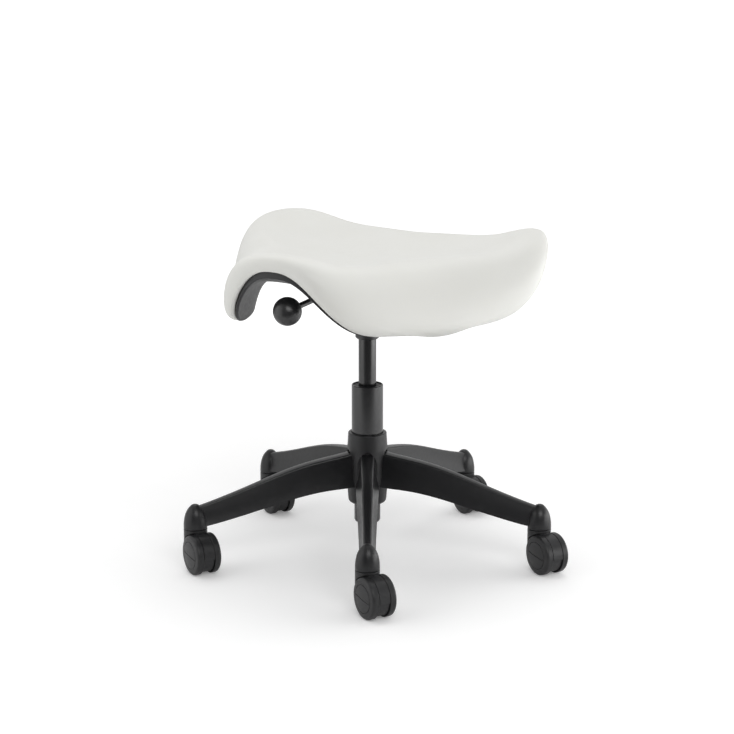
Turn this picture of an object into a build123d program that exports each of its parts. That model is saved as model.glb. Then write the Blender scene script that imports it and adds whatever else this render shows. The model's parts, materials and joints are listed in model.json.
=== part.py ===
from build123d import *

import os
from math import cos, exp, pi, radians, sin, sqrt

# Saddle stool: a three-lobed seat on a gas-lift column, on a five-armed base with twin-wheel casters.
# Millimetres, +Z up. The origin is on the column axis at floor level, and one base arm points along -Y.

# ---- driving dimensions -------------------------------------------------------------------------------
ARM_COUNT = 5
FIRST_ARM_ANGLE = -90.0
STEM_CIRCLE_RADIUS = 282.0
DOME_BOTTOM_Z = 67.6
DOME_RADIUS = 18.4
DOME_HEIGHT = 38.0
DOME_LIP = 3.0
HUB_TOP_Z = 199.0
HUB_BOTTOM_Z = 83.6
HUB_RADIUS = 31.0

# Arm sections from hub to dome: radius, top height, underside height, crown half width, foot half width.
ARM_STATIONS = (
    (24.0, 169.4, 114.0, 10.5, 18.6),
    (61.0, 162.4, 112.2, 10.2, 17.6),
    (105.0, 154.6, 107.2, 9.4, 16.4),
    (149.0, 142.4, 97.8, 8.4, 15.0),
    (193.0, 127.6, 87.0, 7.4, 13.5),
    (240.0, 112.4, 76.4, 6.6, 12.4),
    (282.0, 100.6, 70.0, 6.0, 12.0),
)
ARM_EDGE_RADIUS = 2.8
ARM_FLANK_HOLLOW = 1.6
ARM_CROWN_RISE = 1.4
ARM_WALL = 3.5
CHANNEL_FIRST_STATION = 1
CHANNEL_LAST_STATION = 5
RIB_RADII = (90.0, 135.0, 180.0, 225.0)
RIB_THICKNESS = 2.5

# Pointed-arch recess around each arm root.
ARCH_HALF_WIDTH = 18.4
ARCH_FOOT_Z = 119.0
ARCH_APEX_Z = 172.5
ARCH_DEPTH_RADIUS = 27.8

# Caster, in its own frame: local +X trails from stem to wheels, local Y is the axle.
CASTER_HEADING = -61.0
CASTER_TRAIL = 22.8
WHEEL_RADIUS = 31.3
WHEEL_INNER_FACE = 9.2
WHEEL_OUTER_FACE = 20.2
WHEEL_FACE_BULGE = 2.2
WHEEL_EDGE_ROUND = 4.2
WHEEL_BORE = 3.05
CAP_RADIUS = 21.0
CAP_GROOVE = 0.8
CAP_SEAT = 19.6
CAP_LINE_TILT = -7.0
HOOD_HALF_WIDTH = 8.5
HOOD_RADIUS = 30.9
HOOD_CORE_RADIUS = 28.4
HOOD_STEP_Z = 29.5
NECK_TOP_Z = 66.6
NECK_BOTTOM_Z = 34.0
WHEEL_CLEARANCE = 0.9
AXLE_RADIUS = 3.0
AXLE_HALF_LENGTH = 18.6
STEM_RADIUS = 5.5
STEM_BOTTOM_Z = 50.0
STEM_TOP_Z = 97.0
SLEEVE_RADIUS = 7.5
SLEEVE_BORE = 5.56
SLEEVE_LENGTH = 30.0

# Column.
TUBE_RADIUS = 25.0
TUBE_WALL = 2.0
TUBE_TOP_Z = 276.5
TUBE_TAPER_TOP_Z = 190.0
TUBE_TAPER_RADIUS = 22.3
TUBE_END_RADIUS = 20.8
TUBE_FLOOR_Z = 60.0
TUBE_FLOOR_THICKNESS = 3.0
TUBE_BOTTOM_Z = 51.0
BUSHING_BOTTOM_Z = 195.0
BUSHING_TOP_Z = 275.0
CYLINDER_RADIUS = 14.0
CYLINDER_WALL = 1.7
CYLINDER_BOTTOM_Z = 150.0
CYLINDER_TAPER_Z = 351.0
CYLINDER_TOP_Z = 410.0
CYLINDER_TOP_RADIUS = 13.1
RUNNING_GAP = 0.05
ROD_RADIUS = 5.0
ROD_BOTTOM_Z = 53.0
PISTON_BOTTOM_Z = 230.0
PISTON_TOP_Z = 242.0
BALL_RADIUS = 1.6
BALL_CIRCLE_RADIUS = 8.2
BALL_COUNT = 8
RACE_THICKNESS = 1.5
RACE_RADIUS = 11.5
BUMPER_HEIGHT = 8.0

# Seat mechanism.
SOCKET_RADIUS = 19.0
SOCKET_BOTTOM_Z = 351.0
PLATE_RADIUS = 62.0
PLATE_BOTTOM_Z = 434.0
PLATE_TOP_Z = 438.0
SCREW_CIRCLE_RADIUS = 48.0
SCREW_RADIUS = 3.0
SCREW_FIRST_ANGLE = -75.0
LEVER_ANGLE = -120.0
LEVER_Z = 421.0
LEVER_ROD_RADIUS = 4.4
LEVER_PIVOT_REACH = 40.0
LEVER_BEND_REACH = 60.0
LEVER_CREST_REACH = 150.0
LEVER_CREST_Z = 440.5
KNOB_REACH = 233.4
KNOB_Z = 434.7
KNOB_RADIUS = 21.3
PIVOT_PIN_RADIUS = 2.5
BRACKET_HALF_WIDTH = 9.5
BRACKET_INNER_HALF_WIDTH = 6.0
BRACKET_END = 52.0
VALVE_PIN_RADIUS = 4.0
VALVE_PIN_TOP_Z = 416.3
VALVE_PIN_BOTTOM_Z = 396.5

# Seat plan: a triangle with bowed sides and blunt round corners, which point to 0, 120 and 240 degrees.
# Its rim is high at the corners and hangs low along the sides.
SIDE_DISTANCE = 216.0
CORNER_DISTANCE = 279.0
PLAN_SHARPNESS = 12.6
RIM_LOW_Z = 396.5
RIM_HIGH_Z = 494.5
RIM_SWELL = 5.0
ARCH_SPREAD = 18.8
ARCH_POWER = 2.5
# Each tuple below is a wave round the column axis: mean, then three waves per turn, largest at the corners.
EDGE_WIDTH = (59.3, -11.2)
EDGE_LEVEL = (0.25, 0.28)
EDGE_FULLNESS = 0.94
EDGE_LIFT = 0.5
TUCK_UNDER = (19.0, -13.0, -3.0)
TUCK_LEAST = 3.0
HEM_WIDTH = (3.5, -0.5)
CENTRE_TOP_Z = 477.9
DISH_RADIUS = 250.0
DISH_ROUND = (45.7, -10.6)
DISH_THREE_WAVE = (-45.6, 56.4)
DISH_SIX_WAVE = 9.0
COVER_THICKNESS = 1.3
FOAM_GAP = 0.2
SHELL_GAP = 0.4

SHELL_FLAT_RADIUS = 66.0
SHELL_THICKNESS = 6.0
SHELL_RIM_GAP = 1.0
SHELL_RIM_ABOVE = 7.0
SHELL_RIM_BELOW = -0.5
SHELL_BAND_HEIGHT = 11.5
SHELL_BAND_POWER = 2.4
SHELL_RISE = (38.0, 14.0)
SHELL_RISE_POWER = 1.2
SHELL_FLANK_POWER = 8.0
SHELL_EDGE_ROUND = 1.4
RING_POINTS = 48

ARM_ANGLES = [FIRST_ARM_ANGLE + i * 360.0 / ARM_COUNT for i in range(ARM_COUNT)]


# ---- helpers ------------------------------------------------------------------------------------------
def turned(profile):
    """Solid of revolution about Z from (radius, height) corners."""
    return revolve(Face(Wire.make_polygon([(r, 0, z) for r, z in profile], close=True)), Axis.Z)


def rod(radius, bottom, top):
    """Upright round bar on the Z axis."""
    return Pos(0, 0, bottom) * Cylinder(radius, top - bottom, align=(Align.CENTER, Align.CENTER, Align.MIN))


def ring(inner, outer, bottom, top):
    """Upright tube on the Z axis."""
    return turned([(inner, bottom), (outer, bottom), (outer, top), (inner, top)])


def bar_y(radius, low, high, x=0.0, z=0.0):
    """Round bar along Y."""
    return Pos(x, low, z) * Rot(-90, 0, 0) * rod(radius, 0, high - low)


def block(x0, x1, y0, y1, z0, z1):
    """Box from its lowest to its highest corner."""
    return Pos((x0 + x1) / 2, (y0 + y1) / 2, (z0 + z1) / 2) * Box(x1 - x0, y1 - y0, z1 - z0)


def rim_edges(shape, radius, height):
    """Circular edges about a vertical axis, of one radius at one height."""
    circles = [e for e in shape.edges() if e.geom_type == GeomType.CIRCLE]
    return [e for e in circles if abs(e.radius - radius) < 0.01 and abs(e.arc_center.Z - height) < 0.01]


def around(shape, angles, radius=0.0):
    """Copies of a shape moved out along X, then turned to each angle."""
    return [Rot(0, 0, a) * Pos(radius, 0, 0) * shape for a in angles]


def save(name, *pieces):
    """Writes one sub-part, as one solid or as a group of separate solids."""
    solids = [Solid(piece.solids()[0].wrapped) for piece in pieces]
    shape = solids[0] if len(solids) == 1 else Compound(children=solids)
    shape.label = name
    export_step(shape, os.path.join("parts", name + ".step"))


# ---- base ---------------------------------------------------------------------------------------------
def arm_section(radius, top, foot, crown, spread):
    """Arm cross-section facing outwards: slightly crowned top, hollow flanks, rounded edges."""
    shoulder = top - ARM_CROWN_RISE
    middle = (shoulder + foot) / 2
    flank = (crown + spread) / 2 - ARM_FLANK_HOLLOW
    outline = Wire(
        [
            Edge.make_line((-spread, foot), (spread, foot)),
            Edge.make_three_point_arc((spread, foot), (flank, middle), (crown, shoulder)),
            Edge.make_three_point_arc((crown, shoulder), (0, top), (-crown, shoulder)),
            Edge.make_three_point_arc((-crown, shoulder), (-flank, middle), (-spread, foot)),
        ]
    )
    face = Face(outline)
    upper = [v for v in face.vertices() if v.Y > middle]
    face = face.fillet_2d(ARM_EDGE_RADIUS, upper)
    return Plane(origin=(radius, 0, 0), x_dir=(0, 1, 0), z_dir=(1, 0, 0)) * face


def make_arm():
    """One solid arm along +X, lofted through its stations."""
    return loft([arm_section(*station) for station in ARM_STATIONS])


def make_arm_channel():
    """The hollow under one arm, with its cross ribs left standing."""
    walls = []
    for radius, top, foot, crown, spread in ARM_STATIONS[CHANNEL_FIRST_STATION : CHANNEL_LAST_STATION + 1]:
        depth = foot - 2 * ARM_WALL
        corners = [
            (radius, -spread + ARM_WALL, depth),
            (radius, spread - ARM_WALL, depth),
            (radius, crown - ARM_WALL, top - 2.0 * ARM_WALL),
            (radius, ARM_WALL - crown, top - 2.0 * ARM_WALL),
        ]
        walls.append(Face(Wire.make_polygon(corners, close=True)))
    channel = loft(walls)
    for radius in RIB_RADII:
        channel -= block(radius, radius + RIB_THICKNESS, -30, 30, 60, 170)
    return channel


def make_dome():
    """Bullet-shaped boss over one caster stem, on the Z axis: a half ellipse above a short lip."""
    shoulder = DOME_BOTTOM_Z + DOME_LIP
    rise = DOME_HEIGHT - DOME_LIP
    curve = [
        (DOME_RADIUS * cos(radians(turn)), 0, shoulder + rise * sin(radians(turn)))
        for turn in (0, 22.5, 45, 67.5, 90)
    ]
    outline = Wire(
        [
            Edge.make_line((0, 0, DOME_BOTTOM_Z), (DOME_RADIUS, 0, DOME_BOTTOM_Z)),
            Edge.make_line((DOME_RADIUS, 0, DOME_BOTTOM_Z), curve[0]),
            Edge.make_spline(curve, tangents=[(0, 0, 1), (-1, 0, 0)]),
            Edge.make_line(curve[-1], (0, 0, DOME_BOTTOM_Z)),
        ]
    )
    return revolve(Face(outline), Axis.Z)


def make_arch_cutter():
    """Pointed-arch prism that recesses the hub round one arm root."""
    lean = ARCH_HALF_WIDTH * 0.98
    spring = ARCH_FOOT_Z + 20
    outline = Wire(
        [
            Edge.make_line((-ARCH_HALF_WIDTH, ARCH_FOOT_Z), (ARCH_HALF_WIDTH, ARCH_FOOT_Z)),
            Edge.make_line((ARCH_HALF_WIDTH, ARCH_FOOT_Z), (lean, spring)),
            Edge.make_spline([(lean, spring), (12.0, ARCH_APEX_Z - 11.0), (0, ARCH_APEX_Z)],
                             tangents=[(-0.1, 1), (-1, 0.25)]),
            Edge.make_spline([(0, ARCH_APEX_Z), (-12.0, ARCH_APEX_Z - 11.0), (-lean, spring)],
                             tangents=[(-1, -0.25), (-0.1, -1)]),
            Edge.make_line((-lean, spring), (-ARCH_HALF_WIDTH, ARCH_FOOT_Z)),
        ]
    )
    face = Plane(origin=(ARCH_DEPTH_RADIUS, 0, 0), x_dir=(0, 1, 0), z_dir=(1, 0, 0)) * Face(outline)
    return extrude(face, 20)


def tube_radius_at(height):
    """Outer radius of the tapered lower end of the column tube."""
    share = (height - HUB_BOTTOM_Z) / (TUBE_TAPER_TOP_Z - HUB_BOTTOM_Z)
    return TUBE_TAPER_RADIUS + (TUBE_RADIUS - TUBE_TAPER_RADIUS) * share


def make_base_star():
    """Hub, arms and stem bosses in one moulding."""
    hub = turned(
        [
            (0, HUB_BOTTOM_Z),
            (HUB_RADIUS - 1.0, HUB_BOTTOM_Z),
            (HUB_RADIUS + 1.0, ARCH_FOOT_Z - 9),
            (HUB_RADIUS + 1.0, ARCH_APEX_Z),
            (HUB_RADIUS - 0.5, HUB_TOP_Z),
            (0, HUB_TOP_Z),
        ]
    )
    hub = fillet(rim_edges(hub, HUB_RADIUS - 1.0, HUB_BOTTOM_Z), 6.0)
    hub = fillet(rim_edges(hub, HUB_RADIUS - 0.5, HUB_TOP_Z), 1.5)
    for cutter in around(make_arch_cutter(), ARM_ANGLES):
        hub -= cutter
    dome = make_dome()
    arm = make_arm() - make_arm_channel()
    arm += Pos(STEM_CIRCLE_RADIUS, 0, 0) * dome
    arm -= block(STEM_CIRCLE_RADIUS - 60, STEM_CIRCLE_RADIUS + 60, -60, 60, 0, DOME_BOTTOM_Z)
    arm -= Pos(STEM_CIRCLE_RADIUS, 0, 0) * rod(SLEEVE_RADIUS, 0, DOME_BOTTOM_Z + SLEEVE_LENGTH)
    star = hub
    for placed in around(arm, ARM_ANGLES):
        star += placed
    bore = turned(
        [
            (0, HUB_BOTTOM_Z - 5),
            (TUBE_TAPER_RADIUS, HUB_BOTTOM_Z - 5),
            (TUBE_TAPER_RADIUS, HUB_BOTTOM_Z),
            (TUBE_RADIUS, TUBE_TAPER_TOP_Z),
            (TUBE_RADIUS + 0.6, TUBE_TAPER_TOP_Z),
            (TUBE_RADIUS + 0.6, HUB_TOP_Z + 5),
            (0, HUB_TOP_Z + 5),
        ]
    )
    return star - bore


def make_stem_sleeve():
    """Steel sleeve in a boss, that a caster stem turns in."""
    return ring(SLEEVE_BORE, SLEEVE_RADIUS, DOME_BOTTOM_Z, DOME_BOTTOM_Z + SLEEVE_LENGTH)


# ---- casters, in the caster's own frame ----------------------------------------------------------------
def make_hood():
    """Body of a caster: neck under the boss, band between the wheels and core round the axle."""
    neck = rod(DOME_RADIUS, NECK_BOTTOM_Z, NECK_TOP_Z)
    neck = chamfer(rim_edges(neck, DOME_RADIUS, NECK_TOP_Z), 0.8)
    band = bar_y(HOOD_RADIUS, -HOOD_HALF_WIDTH, HOOD_HALF_WIDTH, CASTER_TRAIL, WHEEL_RADIUS)
    band -= block(-80, 80, -30, 30, -10, HOOD_STEP_Z)
    core = bar_y(HOOD_CORE_RADIUS, -HOOD_HALF_WIDTH, HOOD_HALF_WIDTH, CASTER_TRAIL, WHEEL_RADIUS)
    swept = WHEEL_RADIUS + WHEEL_CLEARANCE
    for low, high in ((-40, -HOOD_HALF_WIDTH), (HOOD_HALF_WIDTH, 40)):
        neck -= bar_y(swept, low, high, CASTER_TRAIL, WHEEL_RADIUS)
    hood = neck + band + core
    hood -= rod(STEM_RADIUS, STEM_BOTTOM_Z, STEM_TOP_Z)
    hood -= bar_y(AXLE_RADIUS, -40, 40, CASTER_TRAIL, WHEEL_RADIUS)
    return hood


def make_stem():
    """Grip stem of a caster, with a lead-in at the top and a groove for its snap ring."""
    groove = STEM_TOP_Z - 7
    return turned(
        [
            (0, STEM_BOTTOM_Z),
            (STEM_RADIUS, STEM_BOTTOM_Z),
            (STEM_RADIUS, groove - 2),
            (STEM_RADIUS - 0.8, groove - 2),
            (STEM_RADIUS - 0.8, groove),
            (STEM_RADIUS, groove),
            (STEM_RADIUS, STEM_TOP_Z - 2),
            (STEM_RADIUS - 2, STEM_TOP_Z),
            (0, STEM_TOP_Z),
        ]
    )


def make_axle():
    """Cross axle of a caster."""
    return bar_y(AXLE_RADIUS, -AXLE_HALF_LENGTH, AXLE_HALF_LENGTH, CASTER_TRAIL, WHEEL_RADIUS)


def crown_sphere(rim, rise):
    """Radius of the sphere whose cap has this rim radius and rise."""
    return (rim**2 + rise**2) / (2 * rise)


FACE_RIM = WHEEL_RADIUS - WHEEL_EDGE_ROUND
FACE_SPHERE = crown_sphere(FACE_RIM, WHEEL_FACE_BULGE)
FACE_CENTRE = WHEEL_OUTER_FACE + WHEEL_FACE_BULGE - FACE_SPHERE


def face_height(radius):
    """Distance of the domed wheel face from the caster's middle plane."""
    return FACE_CENTRE + sqrt(FACE_SPHERE**2 - radius**2)


def lathe(runs):
    """Solid of revolution about Z from (start, end) lines and (start, middle, end) arcs."""
    edges = []
    for run in runs:
        corners = [(r, 0, z) for r, z in run]
        edges.append(Edge.make_three_point_arc(*corners) if len(run) == 3 else Edge.make_line(*corners))
    return revolve(Face(Wire(edges)), Axis.Z)


def make_wheel():
    """Wheel turned about Z: tread, web, hub and domed outer face with a seat for the cap."""
    hub_radius, web_radius, seat_radius = 8.0, 26.5, 20.0
    web_in, web_out = 12.5, 15.0
    lip = CAP_RADIUS + CAP_GROOVE
    tread_end = WHEEL_OUTER_FACE - WHEEL_EDGE_ROUND
    chain = [
        (WHEEL_BORE, WHEEL_INNER_FACE),
        (hub_radius, WHEEL_INNER_FACE),
        (hub_radius, web_in),
        (web_radius, web_in),
        (web_radius, WHEEL_INNER_FACE),
        (WHEEL_RADIUS - 0.6, WHEEL_INNER_FACE),
        (WHEEL_RADIUS, WHEEL_INNER_FACE + 0.6),
        (WHEEL_RADIUS, tread_end),
    ]
    runs = list(zip(chain, chain[1:]))
    eased = 0.293 * WHEEL_EDGE_ROUND
    corner = (WHEEL_RADIUS - eased, WHEEL_OUTER_FACE - eased)
    runs.append((chain[-1], corner, (FACE_RIM, face_height(FACE_RIM))))
    middle = (FACE_RIM + lip) / 2
    runs.append(tuple((radius, face_height(radius)) for radius in (FACE_RIM, middle, lip)))
    inner = [
        (lip, face_height(lip)),
        (lip, CAP_SEAT),
        (seat_radius, CAP_SEAT),
        (seat_radius, web_out),
        (hub_radius, web_out),
        (hub_radius, AXLE_HALF_LENGTH + 0.4),
        (WHEEL_BORE, AXLE_HALF_LENGTH + 0.4),
        (WHEEL_BORE, WHEEL_INNER_FACE),
    ]
    runs += list(zip(inner, inner[1:]))
    return lathe(runs)


def make_cap():
    """Domed wheel cap turned about Z, with a snap ring behind and a plain line across its face."""
    ring_outer, ring_inner, ring_end = 19.9, 17.8, 15.3
    line_half_width, line_depth = 0.7, 0.7
    face = Pos(0, 0, FACE_CENTRE) * Sphere(FACE_SPHERE)
    cap = rod(CAP_RADIUS, CAP_SEAT, CAP_SEAT + 10) & face
    cap += ring(ring_inner, ring_outer, ring_end, CAP_SEAT)
    reach = CAP_RADIUS - 0.8
    line = Rot(0, 0, CAP_LINE_TILT) * block(
        -reach, reach, -line_half_width, line_half_width, CAP_SEAT + 0.6, CAP_SEAT + 10
    )
    return cap - (line - Pos(0, 0, -line_depth) * face)


def on_axle(shape, side):
    """Places a wheel piece turned about Z on the axle: side -1 is the -Y wheel, +1 the +Y wheel."""
    return Pos(CASTER_TRAIL, 0, WHEEL_RADIUS) * Rot(-90 * side, 0, 0) * shape


# ---- column -------------------------------------------------------------------------------------------
def make_column_tube():
    """Outer tube: straight above the hub, tapered in it, closed by a floor near its lower end."""
    inner_low = TUBE_END_RADIUS - TUBE_WALL
    profile = [
        (TUBE_RADIUS - TUBE_WALL, TUBE_TOP_Z),
        (TUBE_RADIUS - 0.8, TUBE_TOP_Z),
        (TUBE_RADIUS, TUBE_TOP_Z - 0.8),
        (TUBE_RADIUS, TUBE_TAPER_TOP_Z),
        (TUBE_TAPER_RADIUS, HUB_BOTTOM_Z),
        (TUBE_END_RADIUS, HUB_BOTTOM_Z - 1.5),
        (TUBE_END_RADIUS, TUBE_BOTTOM_Z + 4),
        (TUBE_END_RADIUS - 1.2, TUBE_BOTTOM_Z + 1.2),
        (TUBE_END_RADIUS - 4, TUBE_BOTTOM_Z),
        (inner_low - 4, TUBE_BOTTOM_Z),
        (inner_low - 4, TUBE_FLOOR_Z - TUBE_FLOOR_THICKNESS),
        (ROD_RADIUS + RUNNING_GAP, TUBE_FLOOR_Z - TUBE_FLOOR_THICKNESS),
        (ROD_RADIUS + RUNNING_GAP, TUBE_FLOOR_Z),
        (inner_low, TUBE_FLOOR_Z),
        (inner_low, HUB_BOTTOM_Z),
        (TUBE_RADIUS - TUBE_WALL, TUBE_TAPER_TOP_Z),
    ]
    return turned(profile)


def make_column_bushing():
    """Plastic guide for the gas cylinder: a sleeve with three collars that fill the tube."""
    collar, sleeve = TUBE_RADIUS - TUBE_WALL, CYLINDER_RADIUS + 3
    bore = CYLINDER_RADIUS + RUNNING_GAP
    middle = (BUSHING_BOTTOM_Z + BUSHING_TOP_Z) / 2
    width = 5.0
    return turned(
        [
            (bore, BUSHING_BOTTOM_Z),
            (collar, BUSHING_BOTTOM_Z),
            (collar, BUSHING_BOTTOM_Z + width),
            (sleeve, BUSHING_BOTTOM_Z + width),
            (sleeve, middle - width / 2),
            (collar, middle - width / 2),
            (collar, middle + width / 2),
            (sleeve, middle + width / 2),
            (sleeve, BUSHING_TOP_Z - width),
            (collar, BUSHING_TOP_Z - width),
            (collar, BUSHING_TOP_Z),
            (bore + 1, BUSHING_TOP_Z),
            (bore, BUSHING_TOP_Z - 1),
        ]
    )


CLIP_Z = ROD_BOTTOM_Z + 1.6
RACE_LOW_Z = TUBE_FLOOR_Z
BALL_Z = RACE_LOW_Z + RACE_THICKNESS + BALL_RADIUS
RACE_HIGH_Z = BALL_Z + BALL_RADIUS
BUMPER_Z = RACE_HIGH_Z + RACE_THICKNESS


def make_piston_rod():
    """Rod from the tube floor up into the cylinder, grooved for its clip."""
    clip_top = CLIP_Z + 1.2
    return turned(
        [
            (0, ROD_BOTTOM_Z),
            (ROD_RADIUS - 0.6, ROD_BOTTOM_Z),
            (ROD_RADIUS, ROD_BOTTOM_Z + 0.6),
            (ROD_RADIUS, CLIP_Z),
            (ROD_RADIUS - 1, CLIP_Z),
            (ROD_RADIUS - 1, clip_top),
            (ROD_RADIUS, clip_top),
            (ROD_RADIUS, PISTON_BOTTOM_Z),
            (ROD_RADIUS - 1.5, PISTON_BOTTOM_Z),
            (ROD_RADIUS - 1.5, PISTON_TOP_Z),
            (0, PISTON_TOP_Z),
        ]
    )


def make_rod_clip():
    """Open spring clip that holds the rod under the tube floor."""
    clip = ring(ROD_RADIUS - 1, ROD_RADIUS + 3.5, CLIP_Z, CLIP_Z + 1.2)
    return clip - block(0, 20, -3, 3, CLIP_Z - 1, CLIP_Z + 3)


def make_piston():
    """Piston with two seal grooves."""
    outer = CYLINDER_RADIUS - CYLINDER_WALL - RUNNING_GAP
    bore = ROD_RADIUS - 1.5
    groove_depth, groove_width = 1.5, 2.5
    piston = ring(bore, outer, PISTON_BOTTOM_Z, PISTON_TOP_Z)
    for low in (PISTON_BOTTOM_Z + 2.0, PISTON_TOP_Z - 2.0 - groove_width):
        piston -= ring(outer - groove_depth, outer + 1, low, low + groove_width)
    return piston


def make_thrust_washers():
    """Lower and upper washer of the thrust bearing."""
    inner = ROD_RADIUS
    low = ring(inner, RACE_RADIUS, RACE_LOW_Z, RACE_LOW_Z + RACE_THICKNESS)
    high = ring(inner, RACE_RADIUS, RACE_HIGH_Z, RACE_HIGH_Z + RACE_THICKNESS)
    return low, high


def make_thrust_balls():
    """Ball set of the thrust bearing."""
    ball = Pos(0, 0, BALL_Z) * Sphere(BALL_RADIUS)
    return around(ball, [i * 360.0 / BALL_COUNT for i in range(BALL_COUNT)], BALL_CIRCLE_RADIUS)


def make_bumper():
    """Rubber buffer that the cylinder meets at its lowest."""
    top = BUMPER_Z + BUMPER_HEIGHT
    return turned(
        [(ROD_RADIUS, BUMPER_Z), (RACE_RADIUS, BUMPER_Z), (RACE_RADIUS - 1, top), (ROD_RADIUS, top)]
    )


def make_gas_cylinder():
    """Pressure tube: open at the bottom for the rod guide, tapered at the top for the seat socket."""
    inner = CYLINDER_RADIUS - CYLINDER_WALL
    neck = 6.0
    return turned(
        [
            (inner, CYLINDER_BOTTOM_Z),
            (CYLINDER_RADIUS - 1, CYLINDER_BOTTOM_Z),
            (CYLINDER_RADIUS, CYLINDER_BOTTOM_Z + 1),
            (CYLINDER_RADIUS, CYLINDER_TAPER_Z),
            (CYLINDER_TOP_RADIUS, CYLINDER_TOP_Z),
            (neck, CYLINDER_TOP_Z),
            (neck, CYLINDER_TOP_Z - 2),
            (CYLINDER_TOP_RADIUS - CYLINDER_WALL, CYLINDER_TOP_Z - 2),
            (inner, CYLINDER_TAPER_Z - 5),
        ]
    )


def make_rod_guide():
    """Seal and guide pressed into the cylinder's lower end."""
    outer = CYLINDER_RADIUS - CYLINDER_WALL
    return ring(ROD_RADIUS + RUNNING_GAP, outer, CYLINDER_BOTTOM_Z, CYLINDER_BOTTOM_Z + 12)


def make_valve_body():
    """Valve seat in the cylinder's upper end, bored for the release pin."""
    top = CYLINDER_TOP_Z - 2
    bottom = top - 12
    outer_top = CYLINDER_TOP_RADIUS - CYLINDER_WALL
    slope = (CYLINDER_RADIUS - CYLINDER_TOP_RADIUS) / (top - CYLINDER_TAPER_Z + 5)
    outer_low = outer_top + slope * (top - bottom)
    bore = VALVE_PIN_RADIUS + RUNNING_GAP
    return turned([(bore, bottom), (outer_low, bottom), (outer_top, top), (bore, top)])


# ---- seat mechanism -----------------------------------------------------------------------------------
def towards_lever(shape):
    """Turns a piece made along +X to the lever's direction."""
    return Rot(0, 0, LEVER_ANGLE) * shape


def make_taper_socket():
    """Socket on the cylinder's taper, open at the top for the lever."""
    ledge = CYLINDER_TOP_Z + 1
    flare = 2.0
    socket = turned(
        [
            (CYLINDER_RADIUS + 0.6, SOCKET_BOTTOM_Z),
            (SOCKET_RADIUS - flare, SOCKET_BOTTOM_Z),
            (SOCKET_RADIUS, SOCKET_BOTTOM_Z + flare),
            (SOCKET_RADIUS, PLATE_BOTTOM_Z),
            (SOCKET_RADIUS - 4, PLATE_BOTTOM_Z),
            (SOCKET_RADIUS - 4, ledge),
            (CYLINDER_TOP_RADIUS, ledge),
            (CYLINDER_TOP_RADIUS, CYLINDER_TOP_Z),
            (CYLINDER_RADIUS, CYLINDER_TAPER_Z + 0.6),
            (CYLINDER_RADIUS + 0.6, CYLINDER_TAPER_Z),
        ]
    )
    half = BRACKET_INNER_HALF_WIDTH
    slot = block(0, SOCKET_RADIUS + 10, -half, half, ledge + 1.5, PLATE_BOTTOM_Z + 1)
    return socket - towards_lever(slot)


def make_lever_bracket():
    """Channel beside the socket that carries the lever's pivot."""
    wide, narrow = BRACKET_HALF_WIDTH, BRACKET_INNER_HALF_WIDTH
    low, web = LEVER_Z - 8, 3.0
    bracket = block(SOCKET_RADIUS - 3, BRACKET_END, -wide, wide, low, PLATE_BOTTOM_Z)
    bracket -= block(0, BRACKET_END + 1, -narrow, narrow, low - 1, PLATE_BOTTOM_Z - web)
    bracket -= rod(SOCKET_RADIUS, low - 1, PLATE_BOTTOM_Z + 1)
    bracket -= bar_y(PIVOT_PIN_RADIUS, -20, 20, LEVER_PIVOT_REACH, LEVER_Z)
    return towards_lever(bracket)


def make_lever_pin():
    """Headed pivot pin through the bracket and the lever."""
    wide, head = BRACKET_HALF_WIDTH, 1.5
    pin = bar_y(PIVOT_PIN_RADIUS, -wide - head, wide + head, LEVER_PIVOT_REACH, LEVER_Z)
    for low in (-wide - head, wide):
        pin += bar_y(PIVOT_PIN_RADIUS + 1.6, low, low + head, LEVER_PIVOT_REACH, LEVER_Z)
    return towards_lever(pin)


def lever_path():
    """Centre line of the lever rod: level in the bracket, up to the crest, then down to the knob."""
    return FilletPolyline(
        (-3, 0, LEVER_Z),
        (LEVER_BEND_REACH, 0, LEVER_Z),
        (LEVER_CREST_REACH, 0, LEVER_CREST_Z),
        (KNOB_REACH - 6, 0, KNOB_Z + 0.4),
        radius=45,
    )


def make_lever_rod():
    """Bent lever rod with its pivot eye."""
    path = lever_path()
    start = Plane(origin=(-3, 0, LEVER_Z), x_dir=(0, 1, 0), z_dir=(1, 0, 0))
    bar = sweep(start * Circle(LEVER_ROD_RADIUS), path=path)
    eye = BRACKET_INNER_HALF_WIDTH - 0.4
    bar += bar_y(LEVER_ROD_RADIUS + 2, -eye, eye, LEVER_PIVOT_REACH, LEVER_Z)
    bar -= bar_y(PIVOT_PIN_RADIUS + RUNNING_GAP, -20, 20, LEVER_PIVOT_REACH, LEVER_Z)
    return bar


def make_release_pin():
    """Valve pin under the lever's inner end, with a crowned top."""
    crown = 0.7
    sphere = crown_sphere(VALVE_PIN_RADIUS, crown)
    return rod(VALVE_PIN_RADIUS, VALVE_PIN_BOTTOM_Z, VALVE_PIN_TOP_Z) & (
        Pos(0, 0, VALVE_PIN_TOP_Z - sphere) * Sphere(sphere)
    )


SCREW_ANGLES = [SCREW_FIRST_ANGLE + i * 90.0 for i in range(4)]
SHELL_FLAT_TOP_Z = PLATE_TOP_Z + SHELL_THICKNESS
INSERT_RADIUS = 4.5
INSERT_FLANGE_RADIUS = 9.0
INSERT_FLANGE = 1.5


def make_mounting_plate():
    """Round steel plate under the shell."""
    plate = rod(PLATE_RADIUS, PLATE_BOTTOM_Z, PLATE_TOP_Z)
    plate = fillet(rim_edges(plate, PLATE_RADIUS, PLATE_BOTTOM_Z), 1.0)
    hole = rod(SCREW_RADIUS + 0.4, PLATE_BOTTOM_Z - 1, PLATE_TOP_Z + 1)
    for placed in around(hole, SCREW_ANGLES, SCREW_CIRCLE_RADIUS):
        plate -= placed
    return plate


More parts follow.
